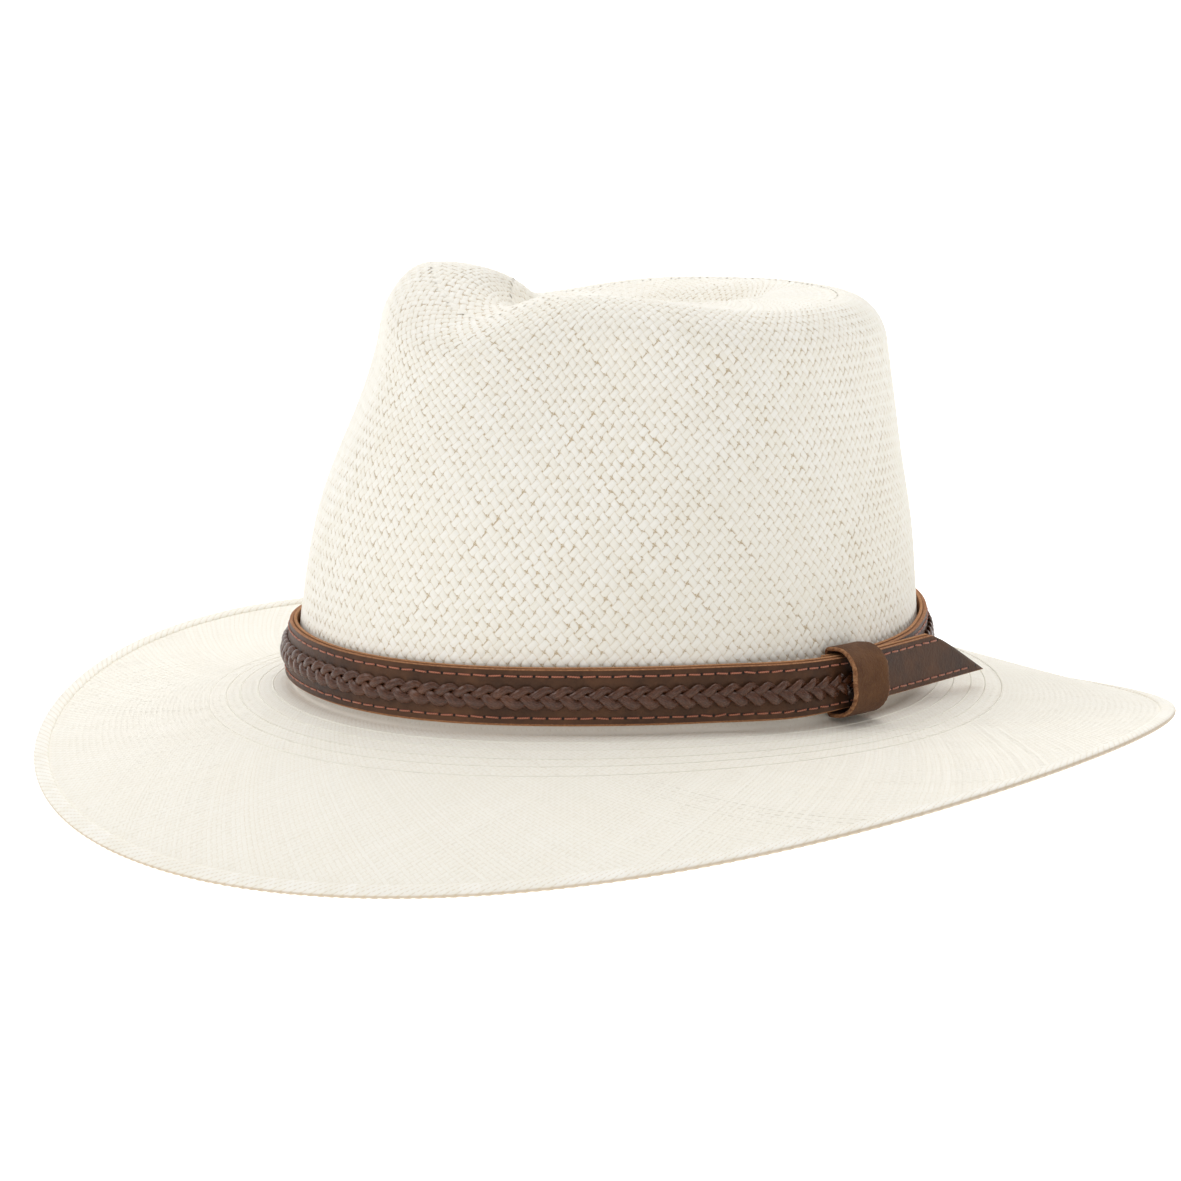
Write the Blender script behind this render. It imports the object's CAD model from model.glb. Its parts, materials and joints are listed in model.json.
import json
import math

import bpy
import numpy as np
from mathutils import Matrix, Vector


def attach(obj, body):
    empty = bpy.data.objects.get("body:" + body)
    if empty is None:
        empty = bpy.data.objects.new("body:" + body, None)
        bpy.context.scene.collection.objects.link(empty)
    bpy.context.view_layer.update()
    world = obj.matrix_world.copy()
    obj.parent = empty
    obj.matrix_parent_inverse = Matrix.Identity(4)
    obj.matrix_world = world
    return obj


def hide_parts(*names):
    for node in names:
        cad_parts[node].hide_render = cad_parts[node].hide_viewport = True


# A panama hat: woven straw, leather band with a plaited braid, tail and keeper loop, sweatband.
# Shapes are worked out in hat axes in millimetres (+X wearer's left, -Y front, z = 0 at the
# band's lower edge) and carried into the row frame, where the crown leans back by PITCH.
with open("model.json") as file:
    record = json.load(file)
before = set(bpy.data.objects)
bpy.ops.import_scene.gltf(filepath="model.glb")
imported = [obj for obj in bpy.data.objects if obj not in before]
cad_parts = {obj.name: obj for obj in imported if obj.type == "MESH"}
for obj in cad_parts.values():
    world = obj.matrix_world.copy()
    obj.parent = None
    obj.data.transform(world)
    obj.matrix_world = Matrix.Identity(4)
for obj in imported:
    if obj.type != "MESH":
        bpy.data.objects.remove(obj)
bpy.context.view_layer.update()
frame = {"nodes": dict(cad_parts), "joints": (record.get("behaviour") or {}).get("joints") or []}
rng = np.random.default_rng(7)

# ---- sizes in hat axes (mm and degrees), as in the CAD model ---------------------------------
CROWN_A, CROWN_B = 105.5, 87.0
BRIM_FRONT, BRIM_SIDE = 72.2, 81.7
EDGE_DROP = (-13.1, -20.4, -11.8, 1.0, 0.2)
BREAK_RISE = (4.82, -8.67, 1.71, -0.91, -0.26)
RISE_FROM, RISE_TO = 26.0, 86.0
PITCH = 6.27
BREAK_R, BREAK_DROP = 2.6, 1.8
STRAW_T = 1.4
CROWN_H, TAPER, TAPER_FRONT, TAPER_SIDE, TAPER_H = 118.5, 0.169, -0.060, -0.043, 120.0
BULGE, MEAN_R, TOP_R, BACK_RISE = 0.027, 96.0, 14.4, 4.7
CREASE_DEPTH, CREASE_W, CREASE_FRONT, CREASE_BACK, CREASE_Y = 32.0, 34.0, 88.0, 60.0, 5.0
PINCH_IN, PINCH_ANGLE, PINCH_SPREAD, PINCH_Z, PINCH_TALL = 11.5, 35.5, 17.0, 98.8, 23.9
SWELLS = ((10.8, -30.0, -66.0, 20.0, 24.0), (-5.7, 6.0, -88.0, 16.0, 14.0))
RIDGES = ((6.3, 1, -62.4, 21.2), (-5.9, -1, 19.4, 22.6))
RIDGE_PAST, RIDGE_W, BACK_REACH, LEAN_SHARE, DENT_SHARE = 2.0, 24.0, 90.0, 0.6, 0.55
BRIM_SAG, BRIM_EARLY = 3.0, 0.62
BAND_H, BAND_FOOT = 16.9, 0.5
BAND_SLIM, SLIM_ANGLE, SLIM_HALF, SLIM_FADE = 1.6, 165.0, 95.0, 30.0
PLY_BACK, PLY_FACE, PLY_GAP = 1.0, 1.2, 0.05
BAND_GAP, KEEPER_GAP = 0.7, 1.4
NEAR_ANGLE, NEAR_FLAT, NEAR_FADE = 92.5, 15.3, 18.7
STACK, STACK_FROM, STACK_FADE = 2.6, 418.0, 24.0
UNDER_START, TAIL_LEAVE, TAIL_LOW, TAIL_HIGH = 84.0, 456.0, 63.0, 33.0
STITCH_PITCH, STITCH_LONG, STITCH_D, STITCH_INSET = 4.5, 4.1, 0.5, 2.5
STITCH_START, STITCH_END = 20.0, 3.0
BRAID_TURN, BRAID_START, BRAID_END = 16.5, 113.0, 452.0
KEEPER_ANGLE, KEEPER_W = 0.2, 15.0
KEEPER_Y0, KEEPER_Y1, KEEPER_X0, KEEPER_X1 = -1.4, 19.4, 0.45, 12.2
KEEPER_END, KEEPER_IN, KEEPER_OUT = 1.2, 0.6, 1.6
KEEPER_BEND, KEEPER_FOLD = 8.0, 1.4
SWEAT_H, SWEAT_T, SWEAT_GAP, SWEAT_FOOT = 33.0, 1.1, 0.6, 1.3
SEAM_ANGLE, SWEAT_STEPS = 0.25, 361     # half the seam's gap at the back, in degrees
SWEAT_STITCHES, SWEAT_STITCH_Z, SWEAT_STITCH_LONG, SWEAT_STITCH_FROM = 198, 4.0, 2.2, 1.5
DEGREE_MM = 1.6                         # about a degree of the crown's side, along the sweatband
REED_D, REED_Z = 2.0, 0.05
BOW_Z, BOW_REACH, BOW_STEPS, BOW_SIDES = 30.0, 4.6, 33, 12
FACE_OUT = PLY_BACK + PLY_GAP + PLY_FACE
CENTRE_X = -(CROWN_A ** 2 / CROWN_B - CROWN_B)

tilt = math.radians(PITCH)
TO_ROW = np.array([[1, 0, 0], [0, math.cos(tilt), math.sin(tilt)], [0, -math.sin(tilt), math.cos(tilt)]])
KEEPER_R = CROWN_B - CENTRE_X
KEEPER_TH = math.pi / 2 + math.asin(KEEPER_R * math.sin(math.radians(KEEPER_ANGLE)) / CROWN_A)


def break_z(th):
    return sum(c * np.cos(i * th) for i, c in enumerate(BREAK_RISE))


HINGE = np.array([CENTRE_X, 0, break_z(KEEPER_TH)])
LIFT = np.array(frame["joints"][0]["pos_m"]) * 1000 - TO_ROW @ HINGE


def to_row(points):
    """Hat axes in millimetres to the row frame in metres."""
    return (np.asarray(points) @ TO_ROW.T + LIFT) / 1000


# ---- the hat's shape ---------------------------------------------------------------------------
def smooth(t):
    t = np.clip(t, 0, 1)
    return t * t * t * (t * (6 * t - 15) + 10)


def bell(t):
    return np.exp(-0.5 * t * t)


def edge_z(th):
    return sum(c * np.cos(i * th) for i, c in enumerate(EDGE_DROP))


def side_normal(th):
    nx, ny = np.sin(th), -np.cos(th) * CROWN_B / CROWN_A
    n = np.hypot(nx, ny)
    return nx / n, ny / n


def swell(z):
    return 1 + BULGE * np.sin(np.pi * np.clip(z / TAPER_H, 0, 1))


def on_wall(angle, z, off):
    """Point at height z, off millimetres outside the plain crown side."""
    th = np.radians(angle)
    lean = TAPER_FRONT * np.cos(th) + TAPER_SIDE * np.cos(2 * th)
    k = (1 - TAPER * z / TAPER_H) * swell(z) * (1 - (z / TAPER_H) * lean)
    nx, ny = side_normal(th)
    return np.stack(np.broadcast_arrays(CROWN_B * k * np.sin(th) + off * nx,
                                        -CROWN_A * k * np.cos(th) + off * ny, z + break_z(th)), -1)


LEAN = math.atan(TAPER * MEAN_R / TAPER_H)
ARC_Z = CROWN_H - TOP_R
ARC_C = MEAN_R * (1 - TAPER * ARC_Z / TAPER_H) - TOP_R / math.cos(LEAN)
ARC_LEN = TOP_R * (math.pi / 2 - LEAN)
WALL_TOP = ARC_Z + TOP_R * math.sin(LEAN)
WALL_LEN = (WALL_TOP + BREAK_DROP - BREAK_R) / math.cos(LEAN)
BREAK_LEN = BREAK_R * (math.pi / 2 - LEAN)
CROWN_LEN = ARC_C + ARC_LEN + WALL_LEN
BRIM_LEN = 80.0
FULL_LEN = CROWN_LEN + BREAK_LEN + BRIM_LEN


def crown_point(s, th):
    a = np.clip((s - ARC_C) / TOP_R, 0, math.pi / 2 - LEAN)
    share = np.where(s < ARC_C, s, ARC_C + TOP_R * np.sin(a)) / MEAN_R
    z = ARC_Z + TOP_R * np.cos(a)
    down = np.maximum(s - ARC_C - ARC_LEN, 0)
    z = np.where(down > 0, WALL_TOP - down * math.cos(LEAN), z)
    share = np.where(down > 0, 1 - TAPER * z / TAPER_H, share)
    lean = TAPER_FRONT * np.cos(th) + TAPER_SIDE * np.cos(2 * th)
    k = share * (1 - (z / TAPER_H) * lean * smooth(share / LEAN_SHARE)) * swell(z)
    x, y = CROWN_B * k * np.sin(th), -CROWN_A * k * np.cos(th)
    up = np.maximum(z, 0) / CROWN_H
    top = z + up ** 2 * BACK_RISE * y / BACK_REACH
    for height, mid_x, mid_y, wide, long in SWELLS:
        top = top + up ** 3 * height * bell((x - mid_x) / wide) * bell((y - mid_y) / long)
    back_y = y - CREASE_Y
    length = np.where(back_y < 0, CREASE_FRONT, CREASE_BACK)
    crease = 1 - smooth(np.hypot(x / CREASE_W, back_y / length))
    top = top - CREASE_DEPTH * crease * smooth((z - CROWN_H + TOP_R) / TOP_R)
    dent = 0
    for side in (1, -1):
        off = (np.degrees(th) - side * PINCH_ANGLE + 180) % 360 - 180
        dent = dent + PINCH_IN * bell(off / PINCH_SPREAD) * bell((z - PINCH_Z) / PINCH_TALL)
    dent = dent * smooth(share / DENT_SHARE)
    nx, ny = side_normal(th)
    x, y = x - dent * nx, y - dent * ny
    up = np.maximum(top, 0) / CROWN_H
    for height, side, mid_y, long in RIDGES:
        top = top + up ** 3 * height * smooth((RIDGE_PAST + side * x) / RIDGE_W) * bell((y - mid_y) / long)
    low = 1 - smooth((z - RISE_FROM) / (RISE_TO - RISE_FROM))
    return np.stack([x, y, top + break_z(th) * low], -1)


def brim_point(t, th):
    a = CROWN_A + BREAK_R + t * (BRIM_FRONT - BREAK_R)
    b = CROWN_B + BREAK_R + t * (BRIM_SIDE - BREAK_R)
    start = break_z(th) - BREAK_DROP
    sag = BRIM_SAG * np.sin(np.pi * t) * np.sin(th) ** 2
    z = start + (edge_z(th) - start) * (BRIM_EARLY * t + (1 - BRIM_EARLY) * t * t) - sag
    return np.stack([b * np.sin(th), -a * np.cos(th), z], -1)


def hood_point(s, th):
    """Outer face of the hood, s millimetres from the crown's centre."""
    s, th = np.broadcast_arrays(np.asarray(s, float), np.asarray(th, float))
    crown = crown_point(np.minimum(s, CROWN_LEN), th)
    brim = brim_point(np.maximum(s - CROWN_LEN - BREAK_LEN, 0) / BRIM_LEN, th)
    w = np.clip((s - CROWN_LEN) / BREAK_LEN, 0, 1)[..., None]
    corner = on_wall(np.degrees(th), -BREAK_DROP, 0)
    bend = crown * (1 - w) ** 2 + corner * 2 * w * (1 - w) + brim * w ** 2
    return np.where(w <= 0, crown, np.where(w >= 1, brim, bend))


def hood_normal(s, th):
    s = np.clip(s, 1.0, FULL_LEN - 1.0)
    along = hood_point(s + 0.6, th) - hood_point(s - 0.6, th)
    across = hood_point(s, th + 0.01) - hood_point(s, th - 0.01)
    n = np.cross(along, across)
    return n / np.linalg.norm(n, axis=-1, keepdims=True)


# ---- meshes ------------------------------------------------------------------------------------
def mesh_object(name, verts, quads, body, replaces=(), slot=None, values=None, caps=(), uv=None):
    """Mesh from hat-axis points and quads, riding on a body; values are per-vertex attributes."""
    verts = to_row(np.asarray(verts).reshape(-1, 3))
    quads = np.asarray(quads, np.int64).reshape(-1, 4)
    loops = np.concatenate([quads.ravel()] + [np.asarray(c, np.int64) for c in caps])
    sizes = np.concatenate([np.full(len(quads), 4)] + [np.array([len(c)]) for c in caps])
    mesh = bpy.data.meshes.new(name)
    mesh.vertices.add(len(verts))
    mesh.vertices.foreach_set("co", verts.astype(np.float32).ravel())
    mesh.loops.add(len(loops))
    mesh.loops.foreach_set("vertex_index", loops.astype(np.int32))
    mesh.polygons.add(len(sizes))
    starts = np.concatenate([[0], np.cumsum(sizes)[:-1]])
    mesh.polygons.foreach_set("loop_start", starts.astype(np.int32))
    mesh.polygons.foreach_set("use_smooth", np.ones(len(sizes), bool))
    mesh.update(calc_edges=True)
    for key, value in (values or {}).items():
        layer = mesh.attributes.new(key, "FLOAT", "POINT")
        layer.data.foreach_set("value", np.asarray(value, np.float32).ravel())
    if uv is not None:
        layer = mesh.uv_layers.new(name="OFBake")
        layer.data.foreach_set("uv", np.asarray(uv, np.float32)[loops].ravel())
    mesh.validate()
    piece = bpy.data.objects.new(name, mesh)
    bpy.context.scene.collection.objects.link(piece)
    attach(piece, body)
    if replaces:
        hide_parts(*replaces)
    return piece


def grid_quads(rows, cols, closed=False):
    """Quads of a grid of points, closed round each row if asked."""
    r, c = np.meshgrid(np.arange(rows - 1), np.arange(cols if closed else cols - 1), indexing="ij")
    a, b = r * cols + c, r * cols + (c + 1) % cols
    return np.stack([a, b, b + cols, a + cols], -1).reshape(-1, 4)


def inside_out(points, quads):
    """Whether quads round a closed body face inwards."""
    a, b, c, d = (np.asarray(points).reshape(-1, 3)[quads[:, k]] for k in range(4))
    a0 = a.mean(0)
    return float(np.einsum("ij,ij->", a - a0, np.cross(b - a0, c - a0) + np.cross(c - a0, d - a0))) < 0


def tube_object(name, rings, body, values=None, **more):
    """Closed body through rings of points, with a flat cap at each end."""
    rows, cols = rings.shape[:2]
    first = np.arange(cols)
    last = first + (rows - 1) * cols
    quads = grid_quads(rows, cols, True)
    caps = [first[::-1], last]
    if inside_out(rings, quads):
        quads, caps = quads[:, ::-1], [cap[::-1] for cap in caps]
    return mesh_object(name, rings, quads, body, values=values, caps=caps, **more)


def rounded_section(w0, w1, o0, o1, r, face_steps=7):
    """Rounded rectangle as (up, off) pairs, and 1 on its cut edges or 0 on its two faces."""
    points, edge = [], []
    corners = [(w1 - r, o1 - r), (w1 - r, o0 + r), (w0 + r, o0 + r), (w0 + r, o1 - r)]
    for k, (w, o) in enumerate(corners):
        start = math.pi / 2 - k * math.pi / 2
        for i in range(4):
            a = start - i * math.pi / 6
            points.append((w + r * math.cos(a), o + r * math.sin(a)))
            on_edge = i >= 1 if k % 2 == 0 else i <= 2
            edge.append(1.0 if on_edge else 0.0)
        if k % 2:
            w_next = corners[(k + 1) % 4][0]
            sign = 1 if k == 3 else -1
            for i in range(1, face_steps):
                t = i / face_steps
                points.append((w + (w_next - w) * t, o + r * sign))
                edge.append(0.0)
    return np.array(points), np.array(edge)


# ---- woven straw ---------------------------------------------------------------------------------
PROFILE_S = np.linspace(0, FULL_LEN, 1200)
ROUND_TH = np.radians(np.arange(0, 360, 15))
CELL_STEPS = 4             # points along a straw per cell it crosses
NARROW, DRIFT, WANDER, UNEVEN = 0.16, 0.05, 0.04, 0.015     # how irregular the straws are
WANDER_RATE = 0.9
FLAT_EDGE = 0.85           # how far a straw's edges close on the one below
CROWNING = 0.25            # rise of a straw's middle over its edges, as a share of its crimp
FINE_COUNT = 300           # zones with more straws than this are the finer brim weave
RING_XY = hood_point(PROFILE_S[:, None], ROUND_TH[None, :])[..., :2]
PROFILE_R = np.maximum(np.linalg.norm(RING_XY, axis=-1).mean(1), 0.3)
WEAVE_DEPTH = -0.62        # middle of the weave below the hood's outer face
CORE_FACES = (-0.03, -0.09)
CORE_FADE = 6.0            # the core's tan holes fade out over this length above the break
CORE_START, CORE_END, CORE_ROWS, CORE_TURN = 0.6, 2.6, 190, 1.5
BREAK_S = CROWN_LEN + BREAK_LEN
# each zone: straws each way, first and last distance from the centre, cell height over width,
# points across a straw, crimp, straw width over its pitch
ZONES = [
    (12, 1.2, 7.4, 1.0, 3, 0.30, 1.0), (26, 6.6, 13.4, 1.0, 3, 0.30, 0.98),
    (46, 12.6, 24.5, 1.0, 3, 0.32, 0.96), (84, 23.5, 42.6, 1.0, 4, 0.34, 0.95),
    (128, 41.4, 66.6, 1.0, 4, 0.36, 0.95), (174, 65.4, CROWN_LEN - 2.0, 1.14, 4, 0.37, 0.955),
    (348, CROWN_LEN - 2.8, BREAK_S + 25.0, 1.0, 3, 0.13, 0.98),
    (480, BREAK_S + 24.4, FULL_LEN - 2.2, 1.0, 3, 0.12, 0.98)]


def weave():
    """Every straw of the plain weave, as a crowned ribbon that passes over and under the others."""
    verts, quads, tone, across, fine, uvs = [], [], [], [], [], []
    total = sum(2 * zone[0] for zone in ZONES)
    base, row = 0, 0
    for count, s0, s1, tall, points, crimp, wide in ZONES:
        step = np.gradient(PROFILE_S) / (tall * 2 * np.pi * PROFILE_R / count)
        table = np.cumsum(step)
        t0, t1 = np.interp([s0, s1], PROFILE_S, table)
        steps = int(round((t1 - t0) * CELL_STEPS))
        t = t0 + np.arange(steps + 1) / CELL_STEPS
        f = np.linspace(-0.5, 0.5, points)
        for way in (1, -1):
            i = np.arange(count)[:, None, None]
            width = wide * (1 - NARROW * rng.random((count, 1, 1)) ** 2)
            drift = DRIFT * rng.standard_normal((count, 1, 1))
            phase = rng.random((count, 1, 1)) * 6.3
            wander = WANDER * np.sin(t[None, :, None] * WANDER_RATE + phase)
            ff = f[None, None, :] * width + drift + wander
            th = 2 * np.pi / count * (i + way * t[None, :, None] + ff / 2)
            tt = t[None, :, None] - way * ff / 2
            s = np.interp(tt.ravel(), table, PROFILE_S).reshape(tt.shape)
            s = np.clip(s, 0.5, FULL_LEN - 1.5)
            th = np.broadcast_to(th, s.shape)
            from_middle = 2 * f[None, None, :]
            pillow = 1 - FLAT_EDGE * np.abs(from_middle) ** 3
            lift = way * crimp * np.cos(2 * np.pi * t)[None, :, None] * pillow
            lift = lift + CROWNING * crimp * (1 - from_middle ** 2)
            lift = lift + UNEVEN * rng.standard_normal((count, 1, 1))
            p = hood_point(s, th) + hood_normal(s, th) * (WEAVE_DEPTH + lift)[..., None]
            shape = p.shape[:3]
            q = grid_quads(steps + 1, points)[:, ::-1]
            per = (steps + 1) * points
            q = (q[None] + (np.arange(count) * per)[:, None, None]).reshape(-1, 4) + base
            verts.append(p.reshape(-1, 3))
            quads.append(q)
            base += count * per
            tone.append(np.broadcast_to(rng.random((count, 1, 1)), shape).ravel())
            across.append(np.broadcast_to(from_middle, shape).ravel())
            fine.append(np.full(s.size, float(count > FINE_COUNT)))
            v = (row + i + 0.1 + 0.8 * (f + 0.5)[None, None, :]) / total
            u = np.broadcast_to((s - s0 + 2) / (FULL_LEN - 60), shape)
            uvs.append(np.stack([np.clip(u, 0, 1), np.broadcast_to(v, shape)], -1).reshape(-1, 2))
            row += count
    values = dict(tone=np.concatenate(tone), across=np.concatenate(across),
                  stain=np.zeros(base), fine=np.concatenate(fine))
    return mesh_object("woven_straw", np.concatenate(verts), np.concatenate(quads), "hat",
                       ["straw_body"], "straw", values, uv=np.concatenate(uvs))


def straw_core():
    """Thin inner layer that closes the holes of the weave, as the straws' own thickness does."""
    s = np.linspace(CORE_START, FULL_LEN - CORE_END, CORE_ROWS)
    th = np.radians(np.arange(0, 360, CORE_TURN))
    point, normal = hood_point(s[:, None], th[None, :]), hood_normal(s[:, None], th[None, :])
    faces = [point + normal * (WEAVE_DEPTH + off) for off in CORE_FACES]
    rings = np.concatenate([faces[0], faces[1][::-1]])
    rows, cols = rings.shape[:2]
    quads = grid_quads(rows + 1, cols, True) % (rows * cols)
    if inside_out(rings, quads):
        quads = quads[:, ::-1]
    stain = np.repeat(1 - smooth((s - CROWN_LEN + CORE_FADE) / CORE_FADE), cols)
    stain = np.concatenate([stain, stain[::-1]])
    return mesh_object("straw_core", rings, quads, "hat", (), "straw",
                       dict(tone=0 * stain, across=stain, stain=stain, fine=1 - stain))


RING_GAPS = (4.2, 9.0, 14.6, 19.2, 24.7)      # rings of twined straw on the brim, out from the break
RING_R, RING_LIFT, RING_TURNS, RING_STEPS = 0.24, -0.55, 420, 6
RING_ORBIT, RING_STRAW = 0.55, 0.62           # path and thickness of each straw, over the radius


def twined_ring(name, s):
    """Two straws twisted round each other in a ring at distance s from the crown's centre."""
    rings, tones = [], []
    steps = RING_TURNS * RING_STEPS
    th = 2 * np.pi * np.arange(steps + 1) / steps
    section = np.radians(np.arange(0, 360, 60))
    for strand in (0, 1):
        phase = np.pi * strand + th * RING_TURNS
        ds = RING_R * (RING_ORBIT * np.cos(phase)[:, None] + RING_STRAW * np.cos(section)[None, :])
        dn = RING_R * (RING_ORBIT * np.sin(phase)[:, None] + RING_STRAW * np.sin(section)[None, :])
        ss = s + ds
        tt = np.broadcast_to(th[:, None], ss.shape)
        rings.append(hood_point(ss, tt) + hood_normal(ss, tt) * (RING_LIFT + dn)[..., None])
        tones.append(np.full(ss.size, 0.35 + 0.3 * strand))
    rows, cols = rings[0].shape[:2]
    quads = np.concatenate([grid_quads(rows, cols, True), grid_quads(rows, cols, True) + rows * cols])
    n = rows * cols * 2
    values = dict(tone=np.concatenate(tones), across=np.zeros(n), stain=np.zeros(n), fine=np.ones(n))
    return mesh_object(name, np.concatenate([r.reshape(-1, 3) for r in rings]), quads, "hat",
                       (), "straw", values)


HEM_WRAPS, HEM_STEPS, HEM_SIDES = 330, 5, 20
HEM_W, HEM_T = 2.35, 1.05       # half width and half thickness of the hem
HEM_SQUARE = 2.6                # 2 would make its section an ellipse
HEM_SLANT = 1.25                # wraps passed on the way across
HEM_BUMP, HEM_BASE, HEM_ROUND = 0.30, -0.20, 0.6
HEM_STAIN = (0.80, 0.25)        # the outermost part, and how softly it darkens


def brim_hem():
    """Woven-back border along the brim edge: slanted, overlapping wraps round a flat roll."""
    steps = HEM_WRAPS * HEM_STEPS
    th = 2 * np.pi * np.arange(steps + 1) / steps
    a = 2 * np.pi * np.arange(HEM_SIDES) / HEM_SIDES
    corner = (np.abs(np.cos(a)) ** HEM_SQUARE + np.abs(np.sin(a)) ** HEM_SQUARE) ** (-1 / HEM_SQUARE)
    ca, sa = np.cos(a) * corner, np.sin(a) * corner
    slant = HEM_SLANT * ca[None, :] * np.where(sa >= 0, 1, -1)[None, :]
    wrap = HEM_WRAPS * th / (2 * np.pi)
    wave = (wrap[:, None] + slant) % 1.0
    bump = HEM_BUMP * np.sin(np.pi * wave) ** HEM_ROUND + HEM_BASE
    ds = (HEM_W + bump) * ca[None, :]
    dn = (HEM_T + bump) * sa[None, :]
    s = np.full_like(ds, FULL_LEN - HEM_W - 0.1)
    tt = np.broadcast_to(th[:, None], ds.shape)
    p = hood_point(s, tt)
    n = hood_normal(s, tt)
    out = hood_point(s + 1, tt) - p
    out = out / np.linalg.norm(out, axis=-1, keepdims=True)
    p = p + out * ds[..., None] + n * (dn - STRAW_T / 2)[..., None]
    tone = np.broadcast_to(rng.random(HEM_WRAPS + 1)[wrap.astype(int)][:, None], ds.shape)
    stain = smooth((ca - HEM_STAIN[0]) / HEM_STAIN[1])[None, :] + 0 * ds
    values = dict(tone=tone.ravel(), across=(np.abs(wave - 0.5) * 2).ravel(),
                  stain=stain.ravel(), fine=np.zeros(ds.size))
    return mesh_object("brim_hem", p, grid_quads(steps + 1, HEM_SIDES, True), "hat", (),
                       "straw", values)


# ---- hat band ------------------------------------------------------------------------------------
def turn_gap(a, b):
    return (a - b + 180) % 360 - 180


def layer_gap(angle):
    near = smooth(1 - (np.abs(turn_gap(angle, NEAR_ANGLE)) - NEAR_FLAT) / NEAR_FADE)
    return BAND_GAP + (KEEPER_GAP - BAND_GAP) * near + STACK * smooth((angle - STACK_FROM) / STACK_FADE)


def slim(angle):
    return BAND_SLIM * smooth((SLIM_HALF - np.abs(turn_gap(angle, SLIM_ANGLE))) / SLIM_FADE)


def break_way(angle):
    way = on_wall(angle + 1, 0, 0) - on_wall(angle - 1, 0, 0)
    return way / np.linalg.norm(way, axis=-1, keepdims=True)


def strap_point(angle, run, w, off):
    p = on_wall(angle, BAND_FOOT + w + slim(angle) * (1 - w / BAND_H), layer_gap(angle) + off)
    return p + break_way(angle) * np.broadcast_to(run, p.shape[:-1])[..., None]


def strap_frame(angle, run, w, off):
    """Point on the strap with its outward and lengthwise directions."""
    p = strap_point(angle, run, w, off)
    up = strap_point(angle, run, w + 0.5, off) - strap_point(angle, run, w - 0.5, off)
    along = break_way(angle)
    out = np.cross(along, up)
    return p, out / np.linalg.norm(out, axis=-1, keepdims=True), along


def length_table(first, last, steps=2000):
    angle = np.linspace(first, last, steps)
    p = strap_point(angle, 0.0, BAND_H / 2, FACE_OUT)
    return np.concatenate([[0], np.cumsum(np.linalg.norm(np.diff(p, axis=0), axis=1))]), angle


STRAP_STEPS, TAIL_STEPS = 420, 24
EDGE_R = 0.34                   # rounding of a ply's edges
FACE_INSET = 0.5                # the face leather stops short of the backing's edges
SHOULDER, SHOULDER_POWER = 3.0, 8   # how much of the tail's upper corner is rounded away
END_SHARE = 0.015               # the tail's cut end closes in by this share


def strap_ply(name, off_in, off_out, inset, replaces, slot):
    """One leather ply with rounded edges, from its inner end to the slanted tip of the tail."""
    angles = np.linspace(UNDER_START, TAIL_LEAVE, STRAP_STEPS)
    angles = np.concatenate([angles, np.full(TAIL_STEPS, TAIL_LEAVE)])
    runs = np.concatenate([np.zeros(STRAP_STEPS), (np.arange(TAIL_STEPS) + 1) / TAIL_STEPS])
    section, edge = rounded_section(inset, BAND_H - inset, off_in, off_out, EDGE_R)
    w, off = section[None, :, 0], section[None, :, 1]
    shoulder = SHOULDER * np.clip(w / BAND_H, 0, 1) ** SHOULDER_POWER
    reach = runs[:, None] * (TAIL_LOW + (TAIL_HIGH - TAIL_LOW) * w / BAND_H - inset - shoulder)
    rings = strap_point(angles[:, None], reach, w, off)
    lengths = np.interp(angles, *length_table(UNDER_START, TAIL_LEAVE)[::-1])[:, None] + reach
    edge = np.broadcast_to(edge[None, :], reach.shape).copy()
    middle = rings[-1:].mean(1, keepdims=True)
    rings = np.concatenate([rings, rings[-1:] * (1 - END_SHARE) + middle * END_SHARE])
    edge = np.concatenate([edge, np.ones_like(edge[:1])])
    lengths = np.concatenate([lengths, lengths[-1:]])
    values = dict(edge=edge, run=lengths, up=np.broadcast_to(w, edge.shape))
    return tube_object(name, rings, "hat", values, replaces=[replaces], slot=slot)


THREAD_RISE, THREAD_DIP = 0.36, 0.62          # over the thread's thickness
THREAD_BELLY, THREAD_THIN, THREAD_FLAT = 3.2, 0.25, 0.8
THREAD_LEAN = 0.05                            # how unevenly the band's stitches lie


def stitch_mesh(name, p, out, along, length, thick, replaces, slot, lean=0.0):
    """Threads lying on a surface, each rising from one needle hole and dipping into the next."""
    side = np.cross(out, along)
    along = along + side * lean
    u = np.linspace(-1, 1, 9)
    a = np.radians(np.arange(0, 360, 45))
    height = thick * (THREAD_RISE * (1 - np.abs(u) ** THREAD_BELLY) - THREAD_DIP * np.abs(u) ** 6)
    fat = thick / 2 * (1 - THREAD_THIN * u ** 4)
    rise = height[:, None] + fat[:, None] * np.sin(a) * THREAD_FLAT
    rings = (p[:, None, None] + along[:, None, None] * (u * length / 2)[None, :, None, None]
             + out[:, None, None] * rise[None, ..., None]
             + side[:, None, None] * (fat[:, None] * np.cos(a))[None, ..., None])
    rows, cols = len(u), len(a)
    quads = grid_quads(rows, cols, True)
    per = rows * cols
    all_quads = (quads[None] + (np.arange(len(p)) * per)[:, None, None]).reshape(-1, 4)
    first = np.arange(cols)
    caps = []
    for k in range(len(p)):
        caps += [first[::-1] + k * per, first + (rows - 1) * cols + k * per]
    twist = np.broadcast_to(u[:, None] * length / 2, (rows, cols))
    values = dict(run=np.tile(twist.ravel(), len(p)), edge=np.tile(np.tile(a, rows), len(p)))
    return mesh_object(name, rings, all_quads, "hat", replaces, slot, values, caps=caps)


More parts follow.
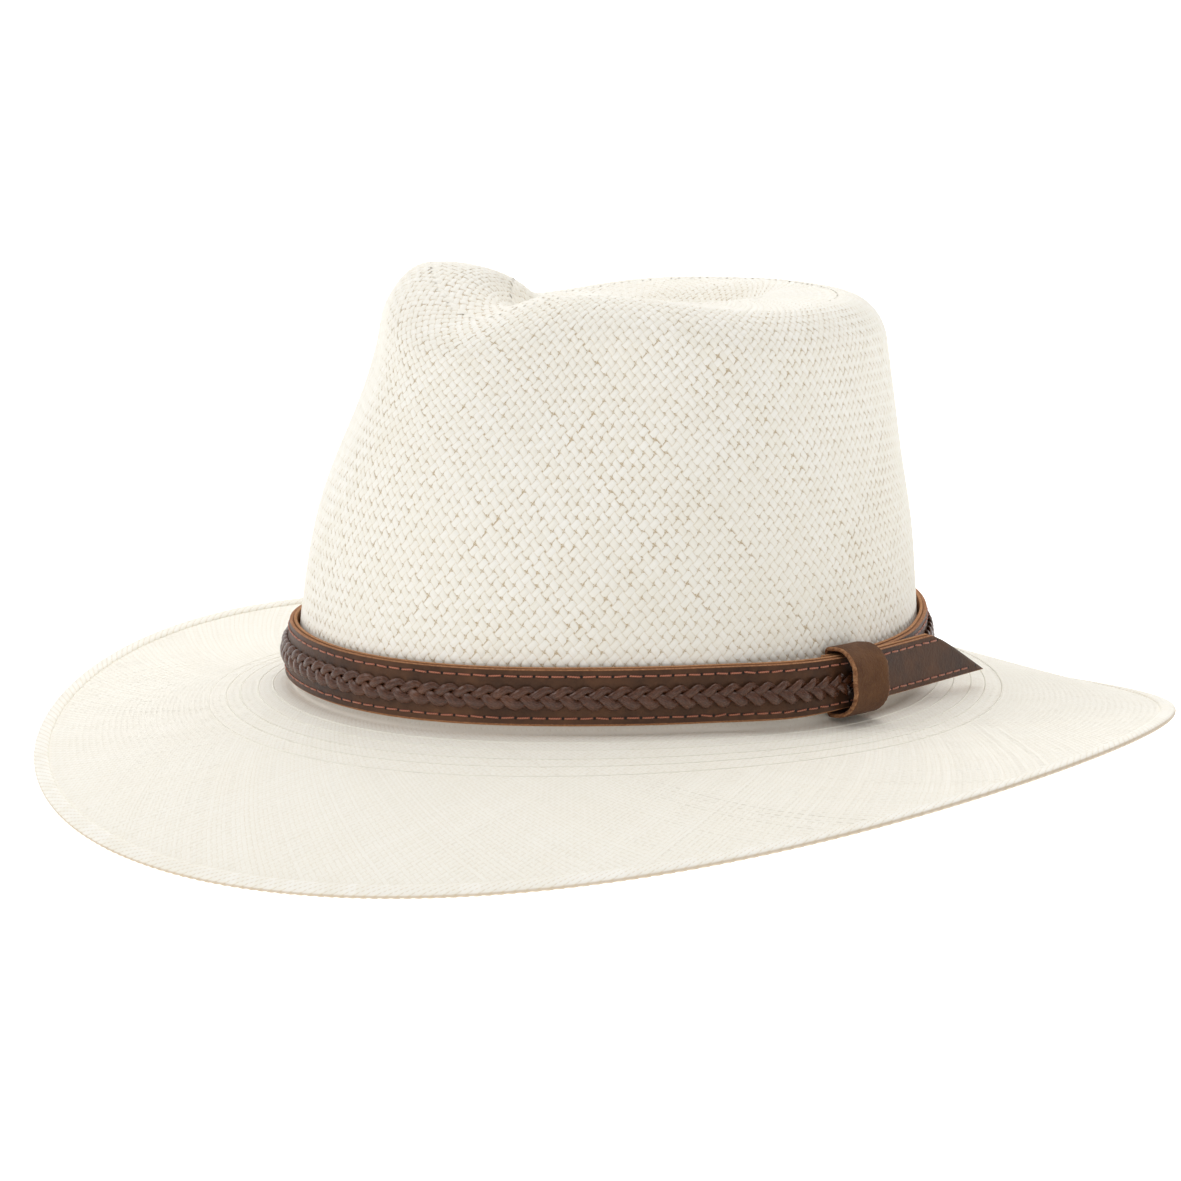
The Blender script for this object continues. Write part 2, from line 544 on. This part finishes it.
def band_stitching(name, w, node):
    table, angle = length_table(UNDER_START + STITCH_START, TAIL_LEAVE)
    total = table[-1]
    tail = TAIL_LOW + (TAIL_HIGH - TAIL_LOW) * w / BAND_H - STITCH_END
    count = int((total + tail) / STITCH_PITCH)
    s = np.arange(count) * STITCH_PITCH + STITCH_LONG / 2
    here = np.interp(np.minimum(s, total), table, angle)
    p, out, along = strap_frame(here, np.maximum(s - total, 0), np.full(count, w), FACE_OUT)
    return stitch_mesh(name, p, out, along, STITCH_LONG, STITCH_D, [node], "thread",
                       THREAD_LEAN * rng.standard_normal((count, 1)))


PLAIT_STEPS = 18
SWING, SWING_ROUND = 1.95, -0.22      # sideways path of a lace: main term, and what squares its turns
LACE_OFF, LACE_OVER, LACE_TIP = 0.80, 0.62, -0.16     # height off the band, over and under, tipping
LACE_W, LACE_T = 1.36, 0.60           # half width and half thickness
LACE_THIN, LACE_FULL, FULL_AT, LOWER_FULL = 0.74, 0.36, 0.5, 0.13
LENS = 0.45                           # 1 would make the section an ellipse


def braid_strand(number):
    """One lace of the three-strand plait, with a lens-shaped section that follows its path."""
    table, angle = length_table(BRAID_START, BRAID_END)
    total = table[-1]
    turns = round(total / BRAID_TURN)
    s = np.linspace(0, total, turns * PLAIT_STEPS + 1)
    phase = 2 * np.pi * (turns * s / total + number / 3)
    w = BAND_H / 2 + SWING * np.sin(phase) + SWING_ROUND * np.sin(3 * phase)
    lift = FACE_OUT + LACE_OFF + LACE_OVER * np.sin(2 * phase) + LACE_TIP * np.sin(phase)
    here = np.interp(s, table, angle)
    p, out, along = strap_frame(here, 0.0, w, lift)
    way = np.gradient(p, axis=0)
    way /= np.linalg.norm(way, axis=1, keepdims=True)
    side = np.cross(out, way)
    side /= np.linalg.norm(side, axis=1, keepdims=True)
    top = np.cross(way, side)
    a = np.radians(np.arange(0, 360, 30))
    full = LACE_THIN + LACE_FULL * np.abs(np.sin(phase + FULL_AT)) ** 1.5
    full = full * (1 - LOWER_FULL * np.sin(phase))
    wide = LACE_W * full[:, None] * np.cos(a)[None, :]
    tall = LACE_T * np.sin(a)[None, :] * (LENS + (1 - LENS) * np.abs(np.sin(a))[None, :]) + 0 * wide
    rings = p[:, None] + side[:, None] * wide[..., None] + top[:, None] * tall[..., None]
    values = dict(run=np.broadcast_to(s[:, None], rings.shape[:2]), up=wide)
    return tube_object(f"braid_lace_{number + 1}", rings, "hat", values,
                       replaces=[f"braid_strand_{number + 1}"], slot="braid_leather")


# ---- keeper loop -----------------------------------------------------------------------------------
LEAN_Z = 20.0
WALL_LEAN = math.atan((CROWN_B - on_wall(90, LEAN_Z, 0.0)[0]) / LEAN_Z)
KEEPER_CLIMB = math.asin(break_way(math.degrees(KEEPER_TH))[2])


def keeper_place(x, y, run):
    """Point of the keeper: x off the straw, y up the wall, run along the band."""
    rho = KEEPER_R + x * math.cos(WALL_LEAN) - y * math.sin(WALL_LEAN)
    z = x * math.sin(WALL_LEAN) + y * math.cos(WALL_LEAN)
    a = run / KEEPER_R
    px, py = rho * np.cos(a), rho * np.sin(a)
    py, pz = (py * math.cos(KEEPER_CLIMB) - z * math.sin(KEEPER_CLIMB),
              py * math.sin(KEEPER_CLIMB) + z * math.cos(KEEPER_CLIMB))
    c, t = math.cos(math.radians(KEEPER_ANGLE)), math.sin(math.radians(KEEPER_ANGLE))
    return np.stack(np.broadcast_arrays(px * c - py * t, px * t + py * c, pz), -1) + HINGE


def keeper_outline(x0, x1, y0, y1, bend, fold, steps=17, side=18):
    """Points round the loop's section, the same number for every size."""
    corners = [(x1 - bend, y1 - bend, 0, bend), (x0 + fold, y1 - fold, 90, fold),
               (x0 + fold, y0 + fold, 180, fold), (x1 - bend, y0 + bend, 270, bend)]
    points = []
    for k, (cx, cy, start, r) in enumerate(corners):
        for i in range(steps):
            a = math.radians(start + 90 * i / (steps - 1))
            points.append((cx + r * math.cos(a), cy + r * math.sin(a)))
        nx, ny, _, nr = corners[(k + 1) % 4]
        e = math.radians(start + 90)
        p = np.array([cx + r * math.cos(e), cy + r * math.sin(e)])
        q = np.array([nx + nr * math.cos(e), ny + nr * math.sin(e)])
        points += [tuple(p + (q - p) * i / side) for i in range(1, side)]
    return np.array(points)


MOUTH_R, MOUTH_STEPS, ACROSS_STEPS = 0.5, 8, 12
FLARE, FLARE_OUT, FLARE_FROM, FLARE_FADE = 0.45, 0.6, 3.0, 6.0
RAGGED, FIBRES = 0.13, 0.07     # how uneven the cut edges are, round the mouth and at each point


def mouth_edge(side):
    """Points over one rounded cut edge: (across, depth, 1), from the outer face to the inner."""
    first = 90 if side > 0 else 270
    points = []
    for i in range(1, MOUTH_STEPS + (side > 0)):
        a = math.radians(first - 180 * i / MOUTH_STEPS)
        across = side * (KEEPER_W / 2 - MOUTH_R) + MOUTH_R * math.cos(a)
        points.append((across, 0.5 + 0.5 * math.sin(a), 1.0))
    return points


def keeper_loop():
    """Leather loop with rounded mouth edges, slightly crowned and flared like rolled leather."""
    outer = keeper_outline(KEEPER_X0, KEEPER_X1, KEEPER_Y0, KEEPER_Y1, KEEPER_BEND, KEEPER_FOLD)
    inner = keeper_outline(KEEPER_X0 + KEEPER_IN, KEEPER_X1 - KEEPER_OUT, KEEPER_Y0 + KEEPER_END,
                           KEEPER_Y1 - KEEPER_END, KEEPER_BEND - KEEPER_OUT, KEEPER_FOLD - KEEPER_IN)
    flat = KEEPER_W / 2 - MOUTH_R
    section = [(flat * (2 * i / ACROSS_STEPS - 1), 1.0, 0.0) for i in range(ACROSS_STEPS + 1)]
    section += mouth_edge(1)
    section += [(flat * (1 - 2 * i / ACROSS_STEPS), 0.0, 0.0) for i in range(1, ACROSS_STEPS + 1)]
    section += mouth_edge(-1)
    across, depth, edge = (np.array(v) for v in zip(*section))
    xy = inner[:, None] + (outer - inner)[:, None] * depth[None, :, None]
    front = smooth((xy[..., 0] - FLARE_FROM) / FLARE_FADE)
    rough = RAGGED * rng.standard_normal((len(xy), 1))
    rough = rough + FIBRES * rng.standard_normal((len(xy), len(edge)))
    ragged = rough * edge[None, :]
    flare = FLARE * ((across / (KEEPER_W / 2)) ** 2 - FLARE_OUT) * (depth > 0.5)
    x = xy[..., 0] + front * flare[None, :]
    rings = keeper_place(x, xy[..., 1], across[None, :] + ragged)
    rows, cols = rings.shape[:2]
    quads = grid_quads(rows + 1, cols, True) % (rows * cols)
    if inside_out(rings, quads):
        quads = quads[:, ::-1]
    values = dict(edge=np.broadcast_to(edge[None, :], x.shape),
                  run=np.broadcast_to(across[None, :], x.shape), up=xy[..., 1])
    return mesh_object("keeper_leather_loop", rings, quads, "keeper", ["keeper_loop"],
                       "keeper_leather", values)


# ---- inside --------------------------------------------------------------------------------------
def sweat_point(angle, z, off):
    return on_wall(angle, z, -(STRAW_T + SWEAT_GAP + off))


def round_inside():
    """Angles from one side of the back seam round to the other."""
    return np.linspace(180 + SEAM_ANGLE, 540 - SEAM_ANGLE, SWEAT_STEPS)[:, None]


def sweatband():
    section, edge = rounded_section(SWEAT_FOOT, SWEAT_FOOT + SWEAT_H, 0.0, SWEAT_T, 0.3)
    angles = round_inside()
    rings = sweat_point(angles, section[None, :, 0], section[None, :, 1])
    values = dict(edge=np.broadcast_to(edge[None, :], rings.shape[:2]),
                  run=np.broadcast_to(angles * DEGREE_MM, rings.shape[:2]),
                  up=np.broadcast_to(section[None, :, 0], rings.shape[:2]))
    return tube_object("sweatband_leather", rings, "hat", values,
                       replaces=["sweatband"], slot="sweat_leather")


def sweatband_stitches():
    turn = 360 - 2 * SWEAT_STITCH_FROM
    angle = 180 + SWEAT_STITCH_FROM + np.arange(SWEAT_STITCHES) * turn / (SWEAT_STITCHES - 1)
    p = sweat_point(angle, SWEAT_STITCH_Z, SWEAT_T)
    nx, ny = side_normal(np.radians(angle))
    out = np.stack([-nx, -ny, 0 * nx], -1)
    along = np.stack([-ny, nx, 0 * nx], -1)
    return stitch_mesh("sweatband_thread", p, out, along, SWEAT_STITCH_LONG, STITCH_D,
                       ["sweatband_stitching"], "pale_thread")


def sweatband_ribbon_bow():
    """Small flat bow over the seam: two loops with a bound middle."""
    rings = []
    a = 2 * np.pi * np.arange(BOW_SIDES) / BOW_SIDES
    for i in range(BOW_STEPS):
        t = -1 + 2 * i / (BOW_STEPS - 1)
        half = 0.9 + 2.3 * abs(math.sin(math.pi * min(abs(t) * 1.02, 1) * 0.86)) ** 0.7
        puff = 0.35 + 0.55 * abs(math.sin(math.pi * abs(t) * 0.95))
        off = SWEAT_T + 0.45 + puff * (0.6 + 0.5 * np.sin(a))
        rings.append(sweat_point(180 - t * BOW_REACH, BOW_Z + half * np.cos(a), off))
    return tube_object("ribbon_bow", np.array(rings), "hat", replaces=["sweatband_bow"],
                       slot="ribbon")


def reed_piping():
    """Thin piping on the sweatband's lower edge."""
    a = 2 * np.pi * np.arange(12)[None, :] / 12
    rings = sweat_point(round_inside(), REED_Z + REED_D / 2 * (1 + np.sin(a)),
                        SWEAT_T / 2 + REED_D / 2 * np.cos(a))
    return tube_object("reed_piping", rings, "hat", replaces=["sweatband_reed"], slot="reed")


# ---- finishes ------------------------------------------------------------------------------------
def rgb(r, g, b):
    """Display colour, 0 to 255, as scene-linear."""
    return [*(((v / 255 + 0.055) / 1.055) ** 2.4 for v in (r, g, b)), 1.0]


class Finish:
    """A node material built up step by step round one Principled shader."""

    def __init__(self, name, **sockets):
        self.material = bpy.data.materials.new(name)
        self.material.use_nodes = True
        self.tree = self.material.node_tree
        self.shader = self.tree.nodes["Principled BSDF"]
        self.set(self.shader, sockets)

    def set(self, node, sockets):
        for key, value in sockets.items():
            socket = node.inputs[key if isinstance(key, int) else key.replace("_", " ")]
            if isinstance(value, bpy.types.NodeSocket):
                self.tree.links.new(value, socket)
            else:
                socket.default_value = value

    def node(self, kind, props=(), **sockets):
        node = self.tree.nodes.new("ShaderNode" + kind)
        for key, value in dict(props).items():
            setattr(node, key, value)
        self.set(node, sockets)
        return node

    def attr(self, name):
        return self.node("Attribute", {"attribute_name": name}).outputs["Fac"]

    def math(self, kind, a, b=0.0, clamp=False):
        node = self.node("Math", {"operation": kind, "use_clamp": clamp})
        self.set(node, {0: a, 1: b})
        return node.outputs[0]

    def mix(self, fac, a, b, kind="MIX"):
        node = self.node("Mix", {"data_type": "RGBA", "blend_type": kind})
        self.set(node, {0: fac, 6: a, 7: b})
        return node.outputs[2]

    def noise(self, scale, detail=3.0, rough=0.55, where=None):
        node = self.node("TexNoise", Scale=scale, Detail=detail, Roughness=rough)
        self.set(node, {"Vector": where or self.node("TexCoord").outputs["Object"]})
        return node.outputs["Fac"]

    def stretch(self, along, across):
        """Noise coordinates that follow the piece, along it and across it."""
        return self.node("CombineXYZ", X=along, Y=across, Z=1.0).outputs[0]

    def span(self, value, a, b, c=0.0, d=1.0):
        node = self.node("MapRange", From_Min=a, From_Max=b, To_Min=c, To_Max=d, Value=value)
        return node.outputs[0]

    def bump(self, height, strength, distance):
        return self.node("Bump", Height=height, Strength=strength, Distance=distance).outputs[0]

    def finish(self, color, roughness, normal):
        self.set(self.shader, {"Base_Color": color, "Roughness": roughness, "Normal": normal})
        return self.material


FIBRE_LONG, FIBRE_FINE = 14.0, 7000.0     # stretch of the straw's fibres along and across it
GRAIN, FUZZ = 900.0, 1600.0               # leather pores and cut fibres, per metre


def straw_finish():
    """Bleached toquilla straw: flat ribbons with lengthwise fibres and slightly tan edges."""
    f = Finish("straw", Specular_IOR_Level=0.35)
    tone, across, fine = f.attr("tone"), f.attr("across"), f.attr("fine")
    uv = f.node("UVMap", {"uv_map": "OFBake"}).outputs[0]
    split = f.node("SeparateXYZ", Vector=uv)
    fibre_at = f.stretch(f.math("MULTIPLY", split.outputs[0], FIBRE_LONG),
                         f.math("MULTIPLY", split.outputs[1], FIBRE_FINE))
    fibre = f.noise(1.0, 2.0, 0.6, fibre_at)
    patch = f.noise(60.0, 3.0)
    spot = f.noise(420.0, 2.0)
    tone = f.math("MULTIPLY", tone, f.math("SUBTRACT", 1.0, f.math("MULTIPLY", fine, 0.6)))
    base = f.mix(tone, rgb(248, 244, 233), rgb(252, 249, 241))
    base = f.mix(f.span(patch, 0.40, 0.75, 0.0, 0.25), base, rgb(244, 238, 224))
    base = f.mix(f.span(spot, 0.62, 0.80, 0.0, 0.18), base, rgb(236, 225, 202))
    base = f.mix(f.span(fibre, 0.45, 0.72, 0.0, 0.10), base, rgb(228, 215, 190))
    base = f.mix(f.math("MULTIPLY", f.attr("stain"), 0.7), base, rgb(168, 138, 98))
    rim = f.span(f.math("ABSOLUTE", across), 0.66, 1.0, 0.0, 0.50)
    coarse = f.math("SUBTRACT", 1.0, f.math("MULTIPLY", fine, 0.45))
    base = f.mix(f.math("MULTIPLY", rim, coarse), base, rgb(206, 184, 146))
    rough = f.span(fibre, 0.2, 0.8, 0.50, 0.66)
    return f.finish(base, rough, f.bump(fibre, 0.25, 0.0002))


def leather_finish(name, dark, light, edge_dark, edge_light, gloss, wear=0.35, holes=()):
    """Smooth-grain leather with worn patches, pores, fibrous cut edges and rows of needle holes."""
    f = Finish(name, Specular_IOR_Level=0.22)
    edge = f.attr("edge")
    patch, cloud = f.noise(55.0, 4.0, 0.6), f.noise(240.0, 3.0)
    pores = f.node("TexVoronoi", Scale=GRAIN, Vector=f.node("TexCoord").outputs["Object"])
    fuzz = f.noise(FUZZ, 2.0, 0.7)
    face = f.mix(f.span(patch, 0.3, 0.7), dark, light)
    face = f.mix(f.span(cloud, 0.5, 0.78, 0.0, wear), face, edge_dark)
    cut = f.mix(f.span(fuzz, 0.3, 0.7), edge_dark, edge_light)
    color = f.mix(edge, face, cut)
    if holes:
        start, rows = holes
        run, up = f.attr("run"), f.attr("up")
        beside = f.math("PINGPONG", f.math("SUBTRACT", run, start), STITCH_PITCH / 2)
        off = f.math("MINIMUM", *[f.math("ABSOLUTE", f.math("SUBTRACT", up, w)) for w in rows])
        away = f.math("SQRT", f.math("ADD", f.math("POWER", beside, 2.0), f.math("POWER", off, 2.0)))
        color = f.mix(f.span(away, 0.30, 0.60, 0.9, 0.0), color, rgb(18, 9, 5))
    worn = f.span(patch, 0.3, 0.7, gloss, gloss + 0.14)
    rough = f.math("ADD", worn, f.math("MULTIPLY", edge, 0.3), True)
    height = f.math("ADD", f.math("MULTIPLY", pores.outputs["Distance"], 0.6), fuzz)
    return f.finish(color, rough, f.bump(height, 0.30, 0.0003))


def lace_finish():
    """Oiled lace leather, streaked along its length."""
    f = Finish("braid_leather", Specular_IOR_Level=0.5)
    run, up = f.attr("run"), f.attr("up")
    where = f.stretch(f.math("MULTIPLY", run, 0.9), f.math("MULTIPLY", up, 4.5))
    streak = f.noise(1.0, 3.0, 0.6, where)
    patch = f.noise(120.0, 3.0)
    color = f.mix(f.span(streak, 0.3, 0.7), rgb(50, 26, 15), rgb(98, 58, 36))
    color = f.mix(f.span(patch, 0.5, 0.75, 0.0, 0.4), color, rgb(120, 76, 50))
    rough = f.span(streak, 0.3, 0.7, 0.20, 0.32)
    return f.finish(color, rough, f.bump(f.math("ADD", streak, patch), 0.35, 0.0003))


def nubuck_finish():
    """Keeper's sanded leather: soft nap, scuffs, light fibrous edges."""
    f = Finish("keeper_leather", Specular_IOR_Level=0.15, Sheen_Weight=0.04, Sheen_Roughness=0.5)
    edge = f.attr("edge")
    nap, patch, fuzz = f.noise(900.0, 4.0, 0.65), f.noise(140.0, 4.0, 0.6), f.noise(2200.0, 2.0)
    face = f.mix(f.span(patch, 0.3, 0.7), rgb(84, 54, 34), rgb(108, 74, 48))
    face = f.mix(f.span(nap, 0.5, 0.75, 0.0, 0.45), face, rgb(128, 92, 62))
    cut = f.mix(f.span(nap, 0.35, 0.65), rgb(118, 76, 50), rgb(186, 138, 100))
    height = f.math("ADD", nap, fuzz)
    return f.finish(f.mix(edge, face, cut), f.span(nap, 0.2, 0.8, 0.72, 0.9),
                    f.bump(height, 0.5, 0.0004))


def thread_finish(name, dark, light):
    """Twisted sewing thread: plies slant across the stitch."""
    f = Finish(name, Specular_IOR_Level=0.4, Sheen_Weight=0.2, Sheen_Roughness=0.4)
    run, turn = f.attr("run"), f.attr("edge")
    ply = f.math("SINE", f.math("ADD", f.math("MULTIPLY", run, 9.0), f.math("MULTIPLY", turn, 2.0)))
    fuzz = f.noise(1800.0, 2.0)
    color = f.mix(f.span(ply, -0.9, 0.9), dark, light)
    height = f.math("ADD", f.span(ply, -1.0, 1.0), f.math("MULTIPLY", fuzz, 0.4))
    return f.finish(color, f.span(fuzz, 0.2, 0.8, 0.5, 0.7), f.bump(height, 0.6, 0.0002))


def cloth_finish(name, dark, light, pitch):
    """Fine woven cloth, as on a ribbon or a covered piping."""
    f = Finish(name, Specular_IOR_Level=0.4, Sheen_Weight=0.3, Sheen_Roughness=0.4)
    where = f.node("TexCoord").outputs["Object"]
    rib = f.node("TexWave", {"bands_direction": "Z"}, Vector=where, Scale=pitch, Distortion=0.6)
    fuzz = f.noise(1500.0, 2.0)
    color = f.mix(f.math("MULTIPLY", rib.outputs["Fac"], f.span(fuzz, 0.2, 0.8, 0.6, 1.0)), dark, light)
    return f.finish(color, f.span(fuzz, 0.2, 0.8, 0.5, 0.7),
                    f.bump(f.math("ADD", rib.outputs["Fac"], fuzz), 0.4, 0.0002))


def paint(piece, material):
    piece.data.materials.clear()
    piece.data.materials.append(material)


# ---- put together --------------------------------------------------------------------------------
straw = straw_finish()
paint(weave(), straw)
paint(brim_hem(), straw)
paint(straw_core(), straw)
for number, gap in enumerate(RING_GAPS):
    paint(twined_ring(f"brim_ring_{number + 1}", BREAK_S + gap), straw)

bare_end = length_table(UNDER_START, UNDER_START + STITCH_START)[0][-1]
first_hole = bare_end - (STITCH_PITCH - STITCH_LONG) / 2
face = leather_finish("band_leather", rgb(58, 36, 22), rgb(94, 63, 42), rgb(128, 84, 54),
                      rgb(186, 134, 96), 0.44, wear=0.2,
                      holes=(first_hole, (STITCH_INSET, BAND_H - STITCH_INSET)))
backing = leather_finish("edge_leather", rgb(124, 84, 54), rgb(156, 110, 74), rgb(150, 104, 68),
                         rgb(198, 148, 108), 0.6)
paint(strap_ply("band_face_strap", PLY_BACK + PLY_GAP, FACE_OUT, FACE_INSET,
                "band_face", "band_leather"), face)
paint(strap_ply("band_backing_strap", 0.0, PLY_BACK, 0.0, "band_backing", "edge_leather"), backing)
thread = thread_finish("thread", rgb(138, 72, 50), rgb(204, 132, 104))
paint(band_stitching("lower_stitches", STITCH_INSET, "band_stitching_lower"), thread)
paint(band_stitching("upper_stitches", BAND_H - STITCH_INSET, "band_stitching_upper"), thread)
lace = lace_finish()
for number in range(3):
    paint(braid_strand(number), lace)
paint(keeper_loop(), nubuck_finish())
paint(sweatband(), leather_finish("sweat_leather", rgb(196, 160, 120), rgb(214, 182, 142),
                                  rgb(170, 128, 88), rgb(206, 168, 124), 0.5))
paint(sweatband_stitches(), thread_finish("pale_thread", rgb(196, 184, 158), rgb(232, 224, 204)))
paint(reed_piping(), cloth_finish("reed", rgb(206, 190, 160), rgb(236, 226, 204), 900.0))
paint(sweatband_ribbon_bow(), cloth_finish("ribbon", rgb(92, 60, 42), rgb(128, 88, 62), 700.0))
paint(frame["nodes"]["band_tacks"], thread)

# ---- floor, light and camera ---------------------------------------------------------------------
FLOOR_R, FLOOR_HALF, SWEEP, WALL_Z, FLOOR_GLOW = 1.6, 5.0, 1.2, 4.0, 0.5     # metres
SKY = 0.42                 # strength of the white surroundings
# area lights: name, place, target, size in metres, watts
LAMPS = [("key", (-1.1, -1.9, 2.0), (0, 0, 0.06), 1.6, 15),
         ("fill", (2.0, -1.2, 1.1), (0, 0, 0.06), 1.8, 4),
         ("top", (0.1, 0.5, 2.2), (0, 0, 0.05), 1.8, 21),
         ("glint", (-0.9, -1.6, 1.9), (0, 0, 0.05), 0.18, 4)]
# camera: turn, height and roll in degrees round the hat, distance in mm, aim point, lens in mm
VIEW_TURN, VIEW_UP, VIEW_ROLL, VIEW_FAR = 38.424, 7.712, 3.626, 1500.0
AIM_RIGHT, AIM_UP, FOCAL, SENSOR = -5.87, 27.24, 150.1, 36.0


def backdrop():
    """Plain pale floor that sweeps up behind the hat."""
    profile = [(-FLOOR_R, 0.0), (FLOOR_R, 0.0)]
    profile += [(FLOOR_R + SWEEP * math.sin(a), SWEEP * (1 - math.cos(a)))
                for a in np.linspace(0, math.pi / 2, 24)[1:]]
    profile.append((FLOOR_R + SWEEP, WALL_Z))
    view = math.radians(VIEW_TURN)
    back = Vector((-math.sin(view), math.cos(view), 0))
    side = Vector((math.cos(view), math.sin(view), 0)) * FLOOR_HALF
    verts, faces = [], []
    for y, z in profile:
        middle = back * y + Vector((0, 0, z))
        verts += [middle - side, middle + side]
    for i in range(len(profile) - 1):
        faces.append((2 * i, 2 * i + 1, 2 * i + 3, 2 * i + 2))
    mesh = bpy.data.meshes.new("floor")
    mesh.from_pydata(verts, [], faces)
    for polygon in mesh.polygons:
        polygon.use_smooth = True
    floor = bpy.data.objects.new("floor", mesh)
    bpy.context.scene.collection.objects.link(floor)
    f = Finish("floor", Specular_IOR_Level=0.1)
    grain = f.noise(3.0, 2.0)
    f.set(f.shader, {"Emission_Color": (1, 1, 1, 1), "Emission_Strength": FLOOR_GLOW})
    color = f.mix(grain, rgb(248, 248, 247), rgb(252, 252, 251))
    paint(floor, f.finish(color, 0.9, f.bump(grain, 0.02, 0.001)))


def lamp(name, place, target, size, watts):
    data = bpy.data.lights.new(name, "AREA")
    data.shape, data.size, data.energy = "SQUARE", size, watts
    light = bpy.data.objects.new(name, data)
    light.location = place
    light.rotation_euler = (Vector(target) - Vector(place)).to_track_quat("-Z", "Y").to_euler()
    bpy.context.scene.collection.objects.link(light)


def photo_camera():
    """Camera where the photograph was taken from, worked out in hat axes."""
    a, e, r = map(math.radians, (VIEW_TURN, VIEW_UP, VIEW_ROLL))
    back = np.array([math.sin(a) * math.cos(e), -math.cos(a) * math.cos(e), math.sin(e)])
    right = np.array([math.cos(a), math.sin(a), 0])
    up = np.cross(back, right)
    right, up = math.cos(r) * right + math.sin(r) * up, math.cos(r) * up - math.sin(r) * right
    aim = AIM_RIGHT * right + AIM_UP * up
    place, target = to_row([back * VIEW_FAR, aim])
    z = place - target
    z = z / np.linalg.norm(z)
    x = np.cross(TO_ROW @ up, z)
    x = x / np.linalg.norm(x)
    turn = Matrix((x, np.cross(z, x), z)).transposed().to_4x4()
    data = bpy.data.cameras.new("camera")
    data.lens, data.sensor_width = FOCAL, SENSOR
    camera = bpy.data.objects.new("camera", data)
    camera.matrix_world = Matrix.Translation(place) @ turn
    bpy.context.scene.collection.objects.link(camera)
    bpy.context.scene.camera = camera


backdrop()
for light in LAMPS:
    lamp(*light)
world = bpy.data.worlds.new("studio")
world.use_nodes = True
sky = world.node_tree.nodes["Background"].inputs
sky["Color"].default_value = (1, 1, 1, 1)
sky["Strength"].default_value = SKY
bpy.context.scene.world = world
bpy.context.scene.view_settings.view_transform = "Standard"
photo_camera()

bpy.context.view_layer.update()
